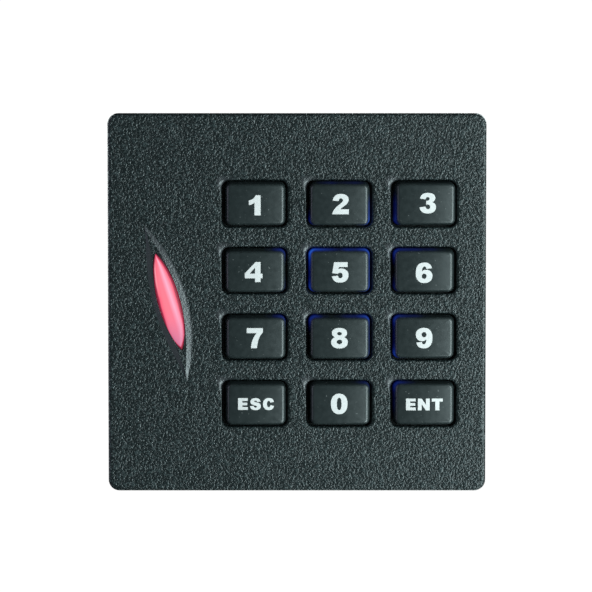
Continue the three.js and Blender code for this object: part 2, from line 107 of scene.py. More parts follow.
# Key windows and key tops, as (width, height, corner radius).
WINDOW = (14.9, 10.52, 1.6)
CAP = (13.25, 9.22, 1.15)
WINDOW_DROP = 0.14  # how far each window sits below the middle of its key
WINDOW_FILLET = 0.55
WINDOW_LEFT_EDGE = 0.30  # width of the rounding on the left, as a share of its depth
WINDOW_RIGHT_EDGE = 1.4
# Wear at each window's upper left corner: its size, reach and distance below the corner.
WORN_CORNER = 1.1
WORN_REACH = 1.8
WORN_DROP = 0.62
# The keys' domed tops: their peak, and their fall towards the sides and the ends.
CROWN_TOP = KEY_TOP - 0.05
CROWN_SIDE = 0.48
CROWN_END = 0.16
# A top's place on its foot, as (x, z), its extra height, and how fast both fade downwards.
CROWN_SHIFT = (0.24, -0.20)
CROWN_TALLER = 0.12
CROWN_FADE = 2
# What each key's top adds to that place, because the keys are loose in their windows.
KEY_LEANS = {
    "1": (0.05, -0.05), "2": (-0.15, -0.09), "3": (0.23, 0.05), "4": (-0.02, -0.12),
    "5": (-0.08, -0.05), "6": (-0.11, -0.05), "7": (0.07, -0.12), "8": (-0.06, -0.12),
    "9": (-0.08, 0.0), "esc": (0.14, -0.02), "0": (0.03, -0.02), "ent": (0.0, 0.04),
}

# The raised leaf round the status light, drawn upright and then leaned over.
LEAF_X = -29.8
LEAF_Z = -0.1
LEAF_TILT = math.radians(15.25)
LEAF_COS, LEAF_SIN = math.cos(LEAF_TILT), math.sin(LEAF_TILT)
LEAF_LENGTH = 36.5
LEAF_RIGHT = 4.75
LEAF_LEFT = 2.7
FOOT_LONGER = 0.7
FOOT_WIDER = 0.3
FOOT_STEP = 0.03
CREST_SHORTER = 2.2
CREST_RIGHT_IN = 1.35
CREST_LEFT_IN = 0.85
LEAF_RISE = 0.46
LEFT_LIP = 0.1  # how much of the lip's drop the left side has
UPPER_FALL = 0.7  # how much of the rise is gone at the upper tip
LOWER_FALL = 0.35
# Rings up its slope, and rings from its crest to the lens slot, as (share of the way, drop).
SLOPE = (0.2, 0.4, 0.6, 0.8, 0.94)
LIP = ((0.0, 0.0), (0.10, -0.01), (0.55, 0.06), (0.94, 0.12), (1.0, 0.25))
GRAIN_TIP = 1  # length at each tip of the slot where the lip has a grain

# The lens slot, and the lit part of the lens in it.
SLOT_SHIFT = (0.7, 0.1)
SLOT_LENGTH = 22.8
SLOT_POWER = 0.85
SLOT_RIGHT = 2.7
SLOT_LEFT = 2.5
LIT_MIDDLE = 0.38
LIT_LENGTH = 21.6
LIT_RIGHT = 1.93
LIT_LEFT = 1.85
UPPER_BLUNTNESS = 2.6
LOWER_BLUNTNESS = 4.6
LIT_NARROWEST = 0.3  # half its width, for the marks at its tips

# Distances under which points are taken as one.
MERGE = 0.002
SLIVER = 0.0005
SAME_CORNER = 1e-7
SAME_END = 1e-6
ROUND_STEPS = 48


# ---- outlines, as lists of (x, z) ----


def between(first, second, share):
    """The outline at a share of the way from one outline to another."""
    return [
        (a[0] + (b[0] - a[0]) * share, a[1] + (b[1] - a[1]) * share)
        for a, b in zip(first, second)
    ]


def rounded_rectangle(width, height, radius, corner_steps=8, side_steps=6):
    """A rounded rectangle, anticlockwise, with the same count of points at any size."""
    arcs = []
    for index, (side_x, side_z) in enumerate([(1, 1), (-1, 1), (-1, -1), (1, -1)]):
        cx = side_x * (width / 2 - radius)
        cz = side_z * (height / 2 - radius)
        arc = []
        for step in range(corner_steps + 1):
            angle = math.radians(90 * index + 90 * step / corner_steps)
            arc.append((cx + radius * math.cos(angle), cz + radius * math.sin(angle)))
        arcs.append(arc)
    points = []
    for arc, following in zip(arcs, arcs[1:] + arcs[:1]):
        points.extend(arc)
        for step in range(1, side_steps):
            points.extend(between(arc[-1:], following[:1], step / side_steps))
    return points


def leaf(length, right, left, steps=36, power=1.4, right_power=1.0):
    """A leaf on an upright chord, anticlockwise from its lower tip. Higher powers slim its tips."""
    points = []
    for bulge, curve, way in ((right, right_power, -1), (-left, power, 1)):
        for step in range(steps):
            t = way * math.cos(math.pi * step / steps)
            points.append((bulge * (1 - t * t) ** curve, t * length / 2))
    return points


def ellipse(cx, cz, rx, rz, power=2.0, steps=40):
    """An ellipse, anticlockwise. A higher power than 2 makes it squarer."""
    points = []
    for step in range(steps):
        angle = 2 * math.pi * step / steps
        cos, sin = math.cos(angle), math.sin(angle)
        x = math.copysign(abs(cos) ** (2 / power), cos)
        z = math.copysign(abs(sin) ** (2 / power), sin)
        points.append((cx + rx * x, cz + rz * z))
    return points


def shifted(points, offset):
    return [(x + offset[0], z + offset[1]) for x, z in points]


def in_leaf_frame(points):
    """Turns points drawn on an upright leaf to where the leaf leans on the face."""
    return [
        (LEAF_X + x * LEAF_COS - z * LEAF_SIN, LEAF_Z + x * LEAF_SIN + z * LEAF_COS)
        for x, z in points
    ]


def on_leaf(x, z):
    """The same point of the face, as it was drawn on the upright leaf."""
    right, up = x - LEAF_X, z - LEAF_Z
    return right * LEAF_COS + up * LEAF_SIN, up * LEAF_COS - right * LEAF_SIN


# ---- mesh building ----


def crossings(point, places, edges):
    """How many of the edges a line from the point towards +x crosses."""
    count = 0
    for first, second in edges:
        a, b = places[first], places[second]
        if (a.y > point.y) != (b.y > point.y):
            count += a.x + (point.y - a.y) / (b.y - a.y) * (b.x - a.x) > point.x
    return count


def grid_over(places, spacing):
    """Evenly spaced points over the box that holds the places."""
    low_x, high_x = min(p.x for p in places), max(p.x for p in places)
    low_z, high_z = min(p.y for p in places), max(p.y for p in places)
    for row in range(1, math.ceil((high_z - low_z) / spacing)):
        for column in range(1, math.ceil((high_x - low_x) / spacing)):
            yield Vector((low_x + column * spacing, low_z + row * spacing))


class Mesher:
    """Gathers rings of points and the faces between them, then makes one mesh piece."""

    def __init__(self):
        self.points = []
        self.faces = []

    def ring(self, outline, depth):
        """Adds an outline at a depth, which may be a number or a function of (x, z)."""
        first = len(self.points)
        for x, z in outline:
            level = depth(x, z) if callable(depth) else depth
            self.points.append((x, level, z))
        return list(range(first, len(self.points)))

    def bridge(self, first, second):
        for a, b, c, d in zip(first, first[1:] + first[:1], second[1:] + second[:1], second):
            self.faces.append((a, b, c, d))

    def stack(self, rings):
        for first, second in zip(rings, rings[1:]):
            self.bridge(first, second)

    def fan(self, ring, depth):
        """Closes a ring with triangles to its middle."""
        x = sum(self.points[i][0] for i in ring) / len(ring)
        z = sum(self.points[i][2] for i in ring) / len(ring)
        self.close(ring, (x, depth, z))

    def close(self, ring, centre):
        """Closes a ring with triangles to any point."""
        self.points.append(centre)
        for here, following in zip(ring, ring[1:] + ring[:1]):
            self.faces.append((here, following, len(self.points) - 1))

    def fill(self, outer, holes=(), spacing=None, depth=None):
        """Fills the region inside one ring and outside the others, with points in between."""
        order = []
        edges = []
        for loop in [outer, *holes]:
            first = len(order)
            order.extend(loop)
            edges.extend((first + i, first + (i + 1) % len(loop)) for i in range(len(loop)))
        flat = [Vector((self.points[i][0], self.points[i][2])) for i in order]
        if spacing:
            inner = [place for place in grid_over(flat, spacing) if crossings(place, flat, edges) % 2]
            flat.extend(inner)
            order.extend(self.ring([(place.x, place.y) for place in inner], depth))
        inside = 1
        _, _, triangles, sources, _, _ = delaunay_2d_cdt(flat, edges, [], inside, SAME_CORNER)
        for triangle in triangles:
            corners = [sources[i][0] for i in triangle]
            centre = sum((flat[i] for i in corners), Vector((0, 0))) / 3
            if crossings(centre, flat, edges) % 2:
                self.faces.append(tuple(order[i] for i in corners))

    def piece(self, name, material, body, sharp=40, marks=None, changes=()):
        """Makes the object on its body. Marks are named values for each (x, depth, z) point."""
        mesh = bpy.data.meshes.new(name)
        mesh.from_pydata([(x * MM, -d * MM, z * MM) for x, d, z in self.points], [], self.faces)
        for mark, values in (marks or {}).items():
            mesh.attributes.new(mark, "FLOAT", "POINT").data.foreach_set("value", values)
        work = bmesh.new()
        work.from_mesh(mesh)
        bmesh.ops.remove_doubles(work, verts=work.verts, dist=MERGE * MM)
        bmesh.ops.dissolve_degenerate(work, edges=work.edges, dist=SLIVER * MM)
        bmesh.ops.recalc_face_normals(work, faces=work.faces)
        work.to_mesh(mesh)
        work.free()
        for operation, tool in changes:
            mesh = changed(mesh, operation, tool)
        mesh.shade_smooth()
        mesh.set_sharp_from_angle(angle=math.radians(sharp))
        mesh.materials.append(material)
        piece = placed(name, mesh)
        weighted = piece.modifiers.new("even_normals", "WEIGHTED_NORMAL")
        weighted.keep_sharp = True
        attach(piece, body)
        return piece


def upright_cylinder(radius, low, high, depth):
    """A closed cylinder that stands on Z at x = 0, to cut with."""
    work = bmesh.new()
    centre = Vector((0, -depth, (low + high) / 2)) * MM
    bmesh.ops.create_cone(
        work, cap_ends=True, segments=ROUND_STEPS, depth=(high - low) * MM,
        radius1=radius * MM, radius2=radius * MM, matrix=Matrix.Translation(centre),
    )
    return tool_mesh(work)


def block(width, thickness, height, depth, middle_z):
    """A box centred on x = 0, to join on."""
    work = bmesh.new()
    place = Matrix.Translation(Vector((0, -depth, middle_z)) * MM)
    size = Matrix.Diagonal((width * MM, thickness * MM, height * MM, 1))
    bmesh.ops.create_cube(work, size=1, matrix=place @ size)
    return tool_mesh(work)


def tool_mesh(work):
    """The mesh of a finished bmesh."""
    mesh = bpy.data.meshes.new("tool")
    work.to_mesh(mesh)
    work.free()
    return mesh


def placed(name, data):
    item = bpy.data.objects.new(name, data)
    bpy.context.scene.collection.objects.link(item)
    return item


def changed(mesh, operation, tool):
    """The mesh with a tool cut out of it (DIFFERENCE) or joined to it (UNION)."""
    target = placed("work", mesh)
    other = placed("work", tool)
    modifier = target.modifiers.new("change", "BOOLEAN")
    modifier.solver = "EXACT"
    modifier.operation = operation
    modifier.object = other
    result = bpy.data.meshes.new_from_object(
        target.evaluated_get(bpy.context.evaluated_depsgraph_get()),
    )
    for item in (target, other):
        bpy.data.objects.remove(item)
    return result


def fillet(steps, radius):
    """Points of a quarter round as (inset, rise) from a wall's top to its flat."""
    for step in range(steps + 1):
        angle = math.pi / 2 * step / steps
        yield radius * (1 - math.cos(angle)), radius * math.sin(angle)


# ---- materials ----


class Nodes:
    """A short way to write a node material."""

    def __init__(self, name):
        self.material = bpy.data.materials.new(name)
        self.material.use_nodes = True
        self.tree = self.material.node_tree
        self.shader = self.tree.nodes["Principled BSDF"]

    def add(self, kind, inputs, **settings):
        node = self.tree.nodes.new(kind)
        for name, value in settings.items():
            setattr(node, name, value)
        for socket, value in inputs.items():
            self.feed(node.inputs[socket], value)
        return node

    def feed(self, socket, value):
        """Links a value to a socket, or sets it there if it is a constant."""
        if isinstance(value, bpy.types.NodeSocket):
            self.tree.links.new(value, socket)
        else:
            socket.default_value = value

    def noise(self, scale, detail, distortion=0.0, stretch=None, turn=0.0):
        """Noise over the object, stretched by three factors and turned about Y."""
        place = self.add("ShaderNodeTexCoord", {}).outputs["Object"]
        if stretch:
            turned = {"Vector": place, "Rotation": (0, turn, 0), "Scale": stretch}
            place = self.add("ShaderNodeMapping", turned).outputs["Vector"]
        inputs = {"Vector": place, "Scale": scale, "Detail": detail, "Distortion": distortion}
        return self.add("ShaderNodeTexNoise", inputs).outputs["Fac"]

    def math(self, operation, first, second=0.0):
        return self.add("ShaderNodeMath", {0: first, 1: second}, operation=operation).outputs[0]

    def ramp(self, value, stops):
        node = self.add("ShaderNodeValToRGB", {"Fac": value})
        while len(node.color_ramp.elements) < len(stops):
            node.color_ramp.elements.new(0.5)
        for element, (position, colour) in zip(node.color_ramp.elements, stops):
            element.position = position
            element.color = (*colour, 1)
        return node.outputs["Color"]

    def mix(self, share, first, second):
        """Mixes a plain colour into a linked one. The node's colour sockets are 6, 7 and 2."""
        inputs = {"Factor": share, 6: first, 7: (*second, 1)}
        return self.add("ShaderNodeMix", inputs, data_type="RGBA").outputs[2]

    def range(self, value, low, high, out_low=0, out_high=1):
        inputs = dict(enumerate((value, low, high, out_low, out_high)))
        return self.add("ShaderNodeMapRange", inputs).outputs["Result"]

    def mark(self, name):
        return self.add("ShaderNodeAttribute", {}, attribute_name=name).outputs["Fac"]

    def bump(self, height, distance, strength):
        inputs = {"Height": height, "Distance": distance, "Strength": strength}
        node = self.add("ShaderNodeBump", inputs)
        self.feed(self.shader.inputs["Normal"], node.outputs["Normal"])

    def set(self, **values):
        for name, value in values.items():
            self.feed(self.shader.inputs[name.replace("_", " ")], value)


PLASTIC_SHEEN = (0.90, 0.97, 1.0, 1.0)


def housing_plastic():
    """Moulded plastic with a spark-eroded grain, with painted shade in its hollows and a painted
    highlight on its peaks.

    Its polish mark is 1 where the mould was polished, round the status light, and up to 1
    where the key windows are worn. There the colour is a lighter bluish grey, a painted
    reflection that stands in for the polished plastic's sheen.
    """
    made = Nodes("housing_plastic")
    height = made.range(made.noise(2200, detail=1.0, distortion=0.6), 0.32, 0.70)
    # The colour follows the grain's height: painted shade in its hollows, a painted highlight on its
    # peaks.
    colour = made.ramp(height, [(0.45, (0.0044, 0.0090, 0.0098)), (1.0, (0.041, 0.058, 0.061))])
    # Where polished the bump is weaker and a lighter bluish grey is painted in: a painted reflection,
    # not the plastic's own colour.
    polish_sheen = made.mark("smooth_and_sheen")
    strength = made.range(polish_sheen, 0, 1, 1.0, 0.42)
    made.set(Base_Color=made.mix(polish_sheen, colour, (0.041, 0.046, 0.052)),
             Roughness=made.range(height, 0, 1, 0.39, 0.26),
             Specular_IOR_Level=0.6, Specular_Tint=PLASTIC_SHEEN)
    made.bump(height, 0.086 * MM, strength)
    return made.material


def key_plastic():
    """Satin key caps over a translucent skirt, with the backlight that shines through it painted on
    as a blue glow.
    """
    made = Nodes("key_plastic")
    mottle = made.noise(900, detail=3)
    fine = made.noise(9000, detail=2)
    colour = made.ramp(mottle, [(0.3, (0.0128, 0.0200, 0.0211)), (0.7, (0.0166, 0.0252, 0.0264))])
    dust = made.range(made.noise(2600, detail=0), 0.82, 0.86, 0, 0.16)
    made.set(Base_Color=made.mix(dust, colour, (0.7, 0.75, 0.75)),
             Roughness=made.range(mottle, 0.3, 0.7, 0.36, 0.43),
             Specular_IOR_Level=0.66, Specular_Tint=PLASTIC_SHEEN)
    glow = made.mark("glow")
    blue = made.ramp(glow, [(0.0, (0.006, 0.010, 0.42)), (1.0, (0.03, 0.18, 0.85))])
    made.set(Emission_Strength=glow, Emission_Color=blue)
    made.bump(fine, 0.02 * MM, 0.35)
    return made.material


def mottled(name, scale, detail, colours, roughness, bump, ends=(0.3, 0.7), stretch=None, **also):
    """Colour, roughness and bump that follow one noise, the first two given at both its ends."""
    made = Nodes(name)
    grain = made.noise(scale, detail, stretch=stretch)
    made.set(Base_Color=made.ramp(grain, list(zip(ends, colours))))
    made.set(Roughness=made.range(grain, 0.3, 0.7, *roughness), **also)
    made.bump(grain, bump[0] * MM, bump[1])
    return made.material


def legend_ink():
    return mottled("legend_ink", 2600, 2, ((0.72, 0.74, 0.75), (0.81, 0.83, 0.84)),
                   (0.50, 0.65), (0.01, 0.3), ends=(0.35, 0.65))


def lens_plastic():
    """Red light pipe, lit from behind, its light painted on as a glow: pink in the middle and deep
    red at its rim, with a painted highlight streak on its right half and a painted reflection
    along its upper left edge.

    Of its marks, "inset" is how many millimetres inside the lit part a point is, "across" runs
    from -1 on that part's left to 1 on its right, and "along" from its lower tip to its upper.
    """
    made = Nodes("lens_plastic")
    cloud = made.noise(420, detail=3)
    ragged = made.math("ADD", made.mark("inset"), made.range(cloud, 0.3, 0.7, -0.05, 0.05))
    depth = made.range(ragged, -1.0, 1.0)
    glow = made.ramp(depth, [
        (0.0, (0.060, 0.003, 0.009)), (0.25, (0.16, 0.007, 0.022)), (0.44, (0.30, 0.016, 0.050)),
        (0.56, (0.92, 0.12, 0.20)), (0.78, (1.0, 0.19, 0.26)), (1.0, (1.0, 0.21, 0.28)),
    ])
    across = made.mark("across")
    along = made.mark("along")
    # Painted highlight: a pale pink streak down the right half, standing in for the light's reflection
    # on the dome.
    highlight_place = made.range(along, 0.5, -0.6, 0.34, 0.62)
    off_highlight = made.math("ABSOLUTE", made.math("SUBTRACT", across, highlight_place))
    near_highlight = made.range(off_highlight, 0.50, 0.0)
    painted_highlight = made.math("MULTIPLY", near_highlight, made.range(ragged, 0.0, 0.3))
    glow = made.mix(painted_highlight, glow, (0.98, 0.46, 0.62))
    lit = made.range(ragged, -0.1, 0.2)
    low_end = made.math("MULTIPLY", made.range(along, -0.15, -0.95, 0, 0.95), lit)
    glow = made.mix(low_end, glow, (0.55, 0.20, 0.35))
    # Painted reflection: a whitish pink line along the upper part of the left edge.
    left_edge_reflection = made.range(across, -0.70, -0.98)
    edge = made.math("MULTIPLY", left_edge_reflection, made.range(along, 0.1, 0.6, 0, 0.8))
    glow = made.mix(made.math("MULTIPLY", edge, lit), glow, (1.0, 0.60, 0.66))
    made.set(Base_Color=made.ramp(depth, [(0.0, (0.05, 0.005, 0.01)), (0.7, (0.20, 0.03, 0.045))]))
    made.set(Emission_Color=glow, Emission_Strength=0.95, Specular_IOR_Level=0.15,
             Roughness=made.range(cloud, 0.3, 0.7, 0.38, 0.48))
    made.bump(cloud, 0.03 * MM, 0.3)
    return made.material


def soft_matt(name, dark, light, roughness, scale=3000, depth=0.03):
    """Matt plastic, rubber or resin with a fine grain and a broad, uneven wear."""
    made = Nodes(name)
    grain = made.noise(scale, detail=3)
    wear = made.noise(120, detail=3)
    level = made.math("ADD", made.math("MULTIPLY", grain, 0.6), made.math("MULTIPLY", wear, 0.4))
    made.set(Base_Color=made.ramp(level, [(0.35, dark), (0.65, light)]))
    made.set(Roughness=made.range(level, 0.3, 0.7, roughness + 0.06, roughness - 0.06))
    made.bump(grain, depth * MM, 0.6)
    return made.material


def board_laminate():
    """Green solder mask with a faint glass weave and darker tracks under it."""
    made = Nodes("board_laminate")
    weave = made.noise(1500, detail=1, stretch=(1, 1, 5))
    tracks = made.noise(160, detail=0, stretch=(1, 1, 4), turn=0.785)
    level = made.math("ADD", made.math("MULTIPLY", weave, 0.5), made.math("MULTIPLY", tracks, 0.5))
    green = [(0.38, (0.006, 0.060, 0.026)), (0.62, (0.012, 0.115, 0.048))]
    made.set(Base_Color=made.ramp(level, green))
    made.set(Roughness=made.range(weave, 0.3, 0.7, 0.34, 0.48))
    made.bump(weave, 0.02 * MM, 0.4)
    return made.material


def coil_copper():
    """Enamelled copper wire, uneven where its turns lie on each other."""
    return mottled("coil_copper", 700, 2, ((0.42, 0.13, 0.045), (0.70, 0.27, 0.10)),
                   (0.28, 0.42), (0.04, 0.5), Metallic=0.9)


def brushed_can():
    """Drawn metal can of the clock crystal and the smoothing capacitor."""
    return mottled("brushed_can", 1800, 2, ((0.50, 0.51, 0.53), (0.70, 0.71, 0.72)),
                   (0.22, 0.36), (0.01, 0.3), stretch=(1, 6, 1), Metallic=1.0)


def clear_led(name, dark, light):
    """Tinted epoxy of a small light."""
    return mottled(name, 1200, 2, (dark, light), (0.12, 0.22), (0.01, 0.2), Coat_Weight=0.4)


def plated_steel():
    return mottled("plated_steel", 2200, 3, ((0.30, 0.31, 0.32), (0.46, 0.47, 0.47)),
                   (0.26, 0.42), (0.01, 0.4), stretch=(1, 1, 6), Metallic=1.0)


HOUSING = housing_plastic()
KEY = key_plastic()
INK = legend_ink()
LENS = lens_plastic()
REAR = soft_matt("rear_plastic", (0.012, 0.014, 0.015), (0.022, 0.025, 0.026), 0.46, 5200, 0.015)
RUBBER = soft_matt("rubber", (0.010, 0.010, 0.011), (0.018, 0.018, 0.019), 0.80)
STEEL = plated_steel()
SILICONE = soft_matt("silicone", (0.030, 0.045, 0.12), (0.045, 0.07, 0.18), 0.45)
LAMINATE = board_laminate()
COPPER = coil_copper()
CAN = brushed_can()
EPOXY = soft_matt("chip_epoxy", (0.012, 0.012, 0.013), (0.024, 0.024, 0.025), 0.55)
NYLON = soft_matt("socket_nylon", (0.62, 0.59, 0.50), (0.74, 0.71, 0.62), 0.42)
BLUE_LED = clear_led("blue_led_epoxy", (0.05, 0.16, 0.60), (0.10, 0.28, 0.85))
RED_LED = clear_led("red_led_epoxy", (0.60, 0.03, 0.04), (0.85, 0.08, 0.08))
GREEN_LED = clear_led("green_led_epoxy", (0.05, 0.45, 0.10), (0.12, 0.65, 0.18))


# ---- front cover ----


def square_ring(half, corner):
    return rounded_rectangle(2 * half, 2 * half, corner)


def slot_outline(length=SLOT_LENGTH, right=SLOT_RIGHT, left=SLOT_LEFT):
    """The lens slot, or the lens in it, drawn on the upright leaf."""
    outline = leaf(length, right, left, power=SLOT_POWER, right_power=SLOT_POWER)
    return shifted(outline, SLOT_SHIFT)


def leaf_ring(share):
    """Outline on the mound: 0 is its foot on the face and 1 the lip of the lens slot."""
    return in_leaf_frame(between(leaf(LEAF_LENGTH, LEAF_RIGHT, LEAF_LEFT), slot_outline(), share))


def crest_ring(inset):
    """The mound's crest: a slimmer leaf that still runs nearly to both tips."""
    crest = leaf(LEAF_LENGTH - CREST_SHORTER, LEAF_RIGHT - CREST_RIGHT_IN, LEAF_LEFT - CREST_LEFT_IN,
                 power=4.0, right_power=1.15)
    return in_leaf_frame(between(crest, slot_outline(), inset))


def corner_wear(x, z):
    """How worn a window's edge is, from 0 to 1, at a point given from the window's middle."""
    to_corner = math.hypot(x + WINDOW[0] / 2, z - WINDOW[1] / 2 + WORN_DROP)
    return math.exp(-((to_corner / WORN_REACH) ** 2))


def window_ring(place, grow):
    """Outline of a key window, grown by its rounding, which is wider at the upper left corner."""
    width, height, radius = WINDOW
    ring = rounded_rectangle(width + 2 * grow, height + 2 * grow, radius + grow)
    worn = []
    for x, z in ring:
        beyond = max(abs(x) - width / 2, 0)
        edge = WINDOW_LEFT_EDGE if x < 0 else WINDOW_RIGHT_EDGE
        if beyond:
            x = math.copysign(width / 2 + beyond * edge, x)
        push = WORN_CORNER * corner_wear(x, z) * grow / WINDOW_FILLET * math.sqrt(0.5)
        worn.append((x - push, z + push))
    return shifted(worn, (place[0], place[1] - WINDOW_DROP))


def mound_level(share, drop=0.0):
    """Depth of the mound at a share of the way up its slope, lower towards both tips."""
    def level(x, z):
        side, height = on_leaf(x, z)
        along = height / (LEAF_LENGTH / 2)
        fall = UPPER_FALL if along > 0 else LOWER_FALL
        lip = drop if side > SLOT_SHIFT[0] else LEFT_LIP * drop
        rise = LEAF_RISE * (1 - fall * along * along) - lip
        return FACE + FOOT_STEP + (rise - FOOT_STEP) * share
    return level


def screw_boss(made, screw, radius, rear):
    """Adds a boss that stands on the inside of the face, and gives the ring of its root."""
    place = middle(screw)
    tip = limits(screw)[1][1] + PILOT_BEYOND_TIP
    wall = ellipse(*place, radius, radius)
    pilot = ellipse(*place, PILOT_RADIUS, PILOT_RADIUS)
    rings = [made.ring(wall, FACE_INNER), made.ring(wall, rear)]
    rings += [made.ring(pilot, rear), made.ring(pilot, tip)]
    made.stack(rings)
    made.fan(rings[-1], tip)
    return rings[0]


def locking_changes():
    """The block that the locking screw goes through, its bore and the recess for its head."""
    low = -BODY_HALF
    top = low + LOCK_BLOCK_TOP
    width, thickness, height = LOCK_BLOCK
    seat_radius, seat_depth = LOCK_SEAT
    block_depth = LOCK_DEPTH - LOCK_BLOCK_BACK
    below = low - CUT_BEYOND
    return [
        ("UNION", block(width, thickness, height, block_depth, top - height / 2)),
        ("DIFFERENCE", upright_cylinder(LOCK_BORE, below, top + CUT_BEYOND, LOCK_DEPTH)),
        ("DIFFERENCE", upright_cylinder(seat_radius, below, low + seat_depth, LOCK_DEPTH)),
    ]


def body_sides(made):
    """The outside, from the rear edge to the flat of the face. Gives its last ring."""
    sides = [made.ring(square_ring(OPENING_HALF, INNER_CORNER), REAR_EDGE)]
    for inset, rise in fillet(3, REAR_FILLET):
        ring = square_ring(BODY_HALF - REAR_FILLET + rise, BODY_CORNER)
        sides.append(made.ring(ring, REAR_EDGE + inset))
    for inset, rise in fillet(6, BODY_FILLET):
        ring = square_ring(BODY_HALF - inset, BODY_CORNER - inset / 2)
        sides.append(made.ring(ring, FACE - BODY_FILLET + rise))
    flat = square_ring(BODY_HALF - BODY_FILLET - BODY_MARGIN, FLAT_CORNER)
    sides.append(made.ring(flat, FACE))
    made.stack(sides)
    return sides[-1]


def body_inside(made):
    """The opening for the rear cover, the ledge and the cavity. Gives its last ring."""
    opening = square_ring(OPENING_HALF, INNER_CORNER)
    cavity = square_ring(CAVITY_HALF, INNER_CORNER)
    inside = [made.ring(opening, REAR_EDGE), made.ring(opening, LEDGE)]
    inside += [made.ring(cavity, LEDGE), made.ring(cavity, FACE_INNER)]
    made.stack(inside)
    return inside[-1]


def key_window(made, place, polish_and_sheen):
    """A key's window. Gives its rings on the face and on the inside."""
    rings = [made.ring(window_ring(place, WINDOW_FILLET + WINDOW_MARGIN), FACE)]
    for inset, rise in reversed(list(fillet(6, WINDOW_FILLET))):
        rings.append(made.ring(window_ring(place, inset), FACE - WINDOW_FILLET + rise))
    rings.append(made.ring(window_ring(place, 0), FACE_INNER))
    made.stack(rings)
    # The worn corner's rounding also gets the housing's lighter painted sheen, standing in for the
    # light it catches.
    for index in sum(rings[1:-1], []):
        x, _, z = made.points[index]
        polish_and_sheen[index] = corner_wear(x - place[0], z - place[1] + WINDOW_DROP)
    return rings[0], rings[-1]


def leaf_mound(made, polish_and_sheen):
    """The raised leaf and the lens slot. Gives its rings on the face and on the inside."""
    foot = leaf(LEAF_LENGTH + FOOT_LONGER, LEAF_RIGHT + FOOT_WIDER, LEAF_LEFT + FOOT_WIDER)
    outer = leaf_ring(0)
    foot = made.ring(in_leaf_frame(foot), FACE)
    slope = [made.ring(outer, FACE + FOOT_STEP)]
    for share in SLOPE:
        slope.append(made.ring(between(outer, crest_ring(0), share), mound_level(share)))
    lip = [made.ring(crest_ring(inset), mound_level(1, drop)) for inset, drop in LIP]
    lip.append(made.ring(crest_ring(1.0), FACE_INNER))
    made.stack([foot, *slope, *lip])
    # The polished slopes and lip also get the housing's lighter painted sheen.
    for index in sum(slope, []):
        polish_and_sheen[index] = 1.0
    for index in sum(lip, []):
        x, _, z = made.points[index]
        if abs(on_leaf(x, z)[1]) < SLOT_LENGTH / 2 - GRAIN_TIP:
            polish_and_sheen[index] = 1.0
    return foot, lip[-1]


def front_cover():
    made = Mesher()
    polish_and_sheen = {}
    face_edge = body_sides(made)
    cavity_edge = body_inside(made)
    openings = [key_window(made, place, polish_and_sheen) for place in KEY_PLACES.values()]
    openings.append(leaf_mound(made, polish_and_sheen))
    face_holes, inner_holes = map(list, zip(*openings))
    for index in range(1, 5):
        inner_holes.append(screw_boss(made, f"housing_screw_{index}", *HOUSING_BOSS))
        inner_holes.append(screw_boss(made, f"board_screw_{index}", *BOARD_BOSS))
    made.fill(face_edge, face_holes)
    made.fill(cavity_edge, inner_holes)
    # Polish marks, which also carry the housing's painted sheen.
    smooth_and_sheen = [polish_and_sheen.get(index, 0.0) for index in range(len(made.points))]
    piece = made.piece("front_shell", HOUSING, "housing", 40, {"smooth_and_sheen": smooth_and_sheen}, locking_changes())
    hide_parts("front_cover")


# ---- keys and legends ----

# Where the blue backlight is painted on as a glow round each key: (side x, side z, strength),
# with sides from -1 to 1 across the key.
GLOWS = {
    "2": [(-1, -1, 0.16), (1, -0.9, 0.6), (1, -0.2, 0.3), (-0.3, 1, 0.07), (0.5, 1, 0.07)],
    "3": [(-1, -0.9, 0.22), (-1, -0.1, 0.1)],
    "4": [(1, 1, 0.26), (1, -0.9, 0.08)],
    "5": [(-1, 0.95, 0.72), (1, 0.95, 0.55), (-0.45, 1, 0.3), (0.35, 1, 0.24), (-1, 0.3, 0.2),
          (-1, -0.4, 0.1), (-1, -1, 0.38), (1, 0.2, 0.28), (1, -0.4, 0.28), (1, -1, 0.5)],
    "6": [(-1, 0.95, 0.28), (-0.4, 1, 0.17), (0.2, 1, 0.08), (-1, -0.9, 0.1)],
    "7": [(1, 1, 0.22)],
    "8": [(-0.95, 1, 0.3), (0.4, 1, 0.12), (1, 0.95, 0.46), (1, 0, 0.22), (1, -0.9, 0.24)],
    "9": [(-1, 0.95, 0.3), (-0.4, 1, 0.1), (-1, 0, 0.07), (-1, -0.95, 0.4)],
    "ent": [(-1, 0.95, 0.2), (-0.7, 1, 0.07), (-1, 0, 0.04)],
    "0": [(1, 1, 0.12)],
}
GLOW_REACH = 1.8
# The glow is strongest this far below the top, fades over this, and starts just under the top.
GLOW_DROP = 1.25
GLOW_BAND = 0.95
GLOW_START = 0.06
GLOW_FADE = 0.2
# Along the lower edge, this high, it runs only this far in from the corners.
LOW_EDGE = 0.8
LOW_GLOW = 1.6


def crown(place):
    """Depth of a key's gently domed top over a point of the face."""
    def level(x, z):
        across = (x - place[0]) / (CAP[0] / 2)
        along = (z - place[1]) / (CAP[1] / 2)
        return CROWN_TOP - CROWN_SIDE * across * across - CROWN_END * along * along
    return level


# The shoulder of a key from its top down, as (growth of the outline, drop below the crown).
SHOULDER = [
    (-0.8, 0.0), (-0.6, 0.02), (-0.42, 0.07), (-0.27, 0.15), (-0.15, 0.26), (-0.06, 0.42),
    (0.0, 0.62), (0.05, 0.9), (0.11, 1.25), (0.2, 1.6), (0.3, 1.95), (0.38, 2.35),
    (0.43, 2.9), (0.45, 3.4),
]
